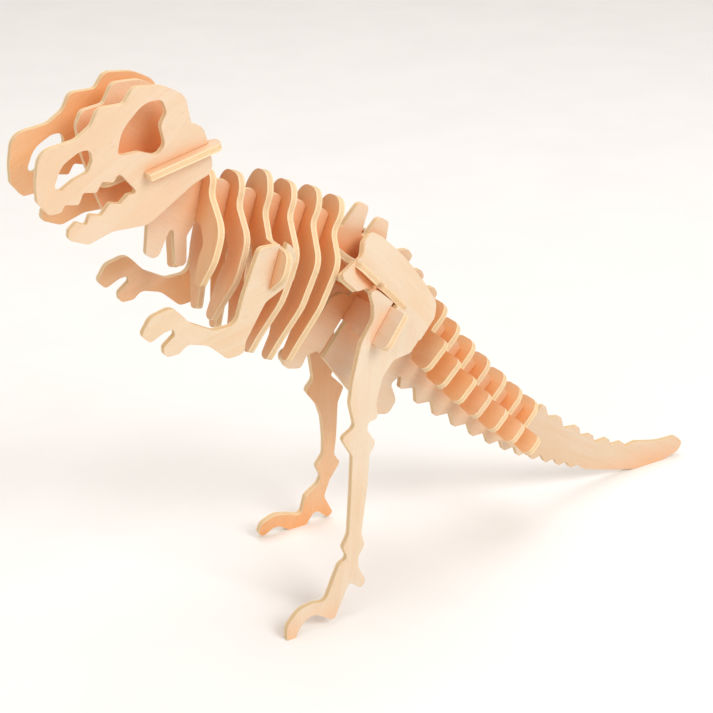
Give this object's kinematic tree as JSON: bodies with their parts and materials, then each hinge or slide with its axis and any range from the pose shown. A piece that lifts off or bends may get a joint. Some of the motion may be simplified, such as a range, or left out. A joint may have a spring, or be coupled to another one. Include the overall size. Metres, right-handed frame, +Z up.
{
  "type": "plywood dinosaur skeleton puzzle",
  "caption": "Slot-together plywood skeleton of a tyrannosaurus: flat plates crossed in half-lap slots, standing on two feet and the tail.",
  "frame": {"origin": "on the ground, under the middle of the bounding box", "axes": "+Z up, the head looks to -Y, +X is the skeleton's left side"},
  "size_m": [0.0854, 0.3504, 0.2441],
  "materials": {
    "neck_spine": "raw birch plywood",
    "tail_spine": "raw birch plywood",
    "skull_left": "raw birch plywood",
    "skull_right": "raw birch plywood",
    "palate_bar": "raw birch plywood",
    "rib_1": "raw birch plywood",
    "rib_2": "raw birch plywood",
    "rib_3": "raw birch plywood",
    "rib_4": "raw birch plywood",
    "rib_5": "raw birch plywood",
    "rib_6": "raw birch plywood",
    "arm_left": "raw birch plywood",
    "arm_right": "raw birch plywood",
    "hip_top_plate": "raw birch plywood",
    "hip_cross_plate": "raw birch plywood",
    "ilium_left": "raw birch plywood",
    "ilium_right": "raw birch plywood",
    "leg_left": "raw birch plywood",
    "leg_right": "raw birch plywood",
    "tail_plate_1": "raw birch plywood",
    "tail_plate_2": "raw birch plywood",
    "tail_plate_3": "raw birch plywood",
    "tail_plate_4": "raw birch plywood",
    "tail_plate_5": "raw birch plywood",
    "tail_plate_6": "raw birch plywood",
    "tail_plate_7": "raw birch plywood"
  },
  "bodies": {
    "hips_and_spine": {"neck_spine": "neck_spine", "tail_spine": "tail_spine", "hip_top_plate": "hip_top_plate", "hip_cross_plate": "hip_cross_plate", "ilium_left": "ilium_left", "ilium_right": "ilium_right"},
    "palate_bar": {"palate_bar": "palate_bar"},
    "skull_left": {"skull_left": "skull_left"},
    "skull_right": {"skull_right": "skull_right"},
    "rib_1": {"rib_1": "rib_1"},
    "rib_2": {"rib_2": "rib_2"},
    "rib_3": {"rib_3": "rib_3"},
    "rib_4": {"rib_4": "rib_4"},
    "rib_5": {"rib_5": "rib_5"},
    "rib_6": {"rib_6": "rib_6"},
    "arm_left": {"arm_left": "arm_left"},
    "arm_right": {"arm_right": "arm_right"},
    "leg_left": {"leg_left": "leg_left"},
    "leg_right": {"leg_right": "leg_right"},
    "tail_plate_1": {"tail_plate_1": "tail_plate_1"},
    "tail_plate_2": {"tail_plate_2": "tail_plate_2"},
    "tail_plate_3": {"tail_plate_3": "tail_plate_3"},
    "tail_plate_4": {"tail_plate_4": "tail_plate_4"},
    "tail_plate_5": {"tail_plate_5": "tail_plate_5"},
    "tail_plate_6": {"tail_plate_6": "tail_plate_6"},
    "tail_plate_7": {"tail_plate_7": "tail_plate_7"}
  },
  "joints": [
    {"name": "palate_pull", "type": "slide", "parent": "hips_and_spine", "child": "palate_bar", "axis": [0, -0.9703, -0.2419], "range_m": [0, 0.03]},
    {"name": "skull_left_pull", "type": "slide", "parent": "palate_bar", "child": "skull_left", "axis": [0, -0.9703, -0.2419], "range_m": [0, 0.04]},
    {"name": "skull_right_pull", "type": "slide", "parent": "palate_bar", "child": "skull_right", "axis": [0, -0.9703, -0.2419], "range_m": [0, 0.04]},
    {"name": "rib_1_lift", "type": "slide", "parent": "hips_and_spine", "child": "rib_1", "axis": [0, 0.2419, 0.9703], "range_m": [0, 0.03]},
    {"name": "rib_2_lift", "type": "slide", "parent": "hips_and_spine", "child": "rib_2", "axis": [0, 0.2756, 0.9613], "range_m": [0, 0.03]},
    {"name": "rib_3_lift", "type": "slide", "parent": "hips_and_spine", "child": "rib_3", "axis": [0, 0.309, 0.9511], "range_m": [0, 0.03]},
    {"name": "rib_4_lift", "type": "slide", "parent": "hips_and_spine", "child": "rib_4", "axis": [0, 0.342, 0.9397], "range_m": [0, 0.03]},
    {"name": "rib_5_lift", "type": "slide", "parent": "hips_and_spine", "child": "rib_5", "axis": [0, 0.3746, 0.9272], "range_m": [0, 0.03]},
    {"name": "rib_6_lift", "type": "slide", "parent": "hips_and_spine", "child": "rib_6", "axis": [0, 0.4067, 0.9135], "range_m": [0, 0.03]},
    {"name": "arm_left_pull", "type": "slide", "parent": "rib_3", "child": "arm_left", "axis": [0, -0.309, -0.9511], "range_m": [0, 0.035]},
    {"name": "arm_right_pull", "type": "slide", "parent": "rib_3", "child": "arm_right", "axis": [0, -0.309, -0.9511], "range_m": [0, 0.035]},
    {"name": "leg_left_pull", "type": "slide", "parent": "hips_and_spine", "child": "leg_left", "axis": [0.0954, -0.6224, -0.7769], "range_m": [0, 0.025]},
    {"name": "leg_right_pull", "type": "slide", "parent": "hips_and_spine", "child": "leg_right", "axis": [-0.0954, -0.6224, -0.7769], "range_m": [0, 0.025]},
    {"name": "tail_plate_1_lift", "type": "slide", "parent": "hips_and_spine", "child": "tail_plate_1", "axis": [0, 0.7431, 0.6691], "range_m": [0, 0.025]},
    {"name": "tail_plate_2_lift", "type": "slide", "parent": "hips_and_spine", "child": "tail_plate_2", "axis": [0, 0.7431, 0.6691], "range_m": [0, 0.025]},
    {"name": "tail_plate_3_lift", "type": "slide", "parent": "hips_and_spine", "child": "tail_plate_3", "axis": [0, 0.7431, 0.6691], "range_m": [0, 0.025]},
    {"name": "tail_plate_4_lift", "type": "slide", "parent": "hips_and_spine", "child": "tail_plate_4", "axis": [0, 0.7431, 0.6691], "range_m": [0, 0.025]},
    {"name": "tail_plate_5_lift", "type": "slide", "parent": "hips_and_spine", "child": "tail_plate_5", "axis": [0, 0.7431, 0.6691], "range_m": [0, 0.025]},
    {"name": "tail_plate_6_lift", "type": "slide", "parent": "hips_and_spine", "child": "tail_plate_6", "axis": [0, 0.7431, 0.6691], "range_m": [0, 0.025]},
    {"name": "tail_plate_7_lift", "type": "slide", "parent": "hips_and_spine", "child": "tail_plate_7", "axis": [0, 0.7431, 0.6691], "range_m": [0, 0.025]}
  ]
}
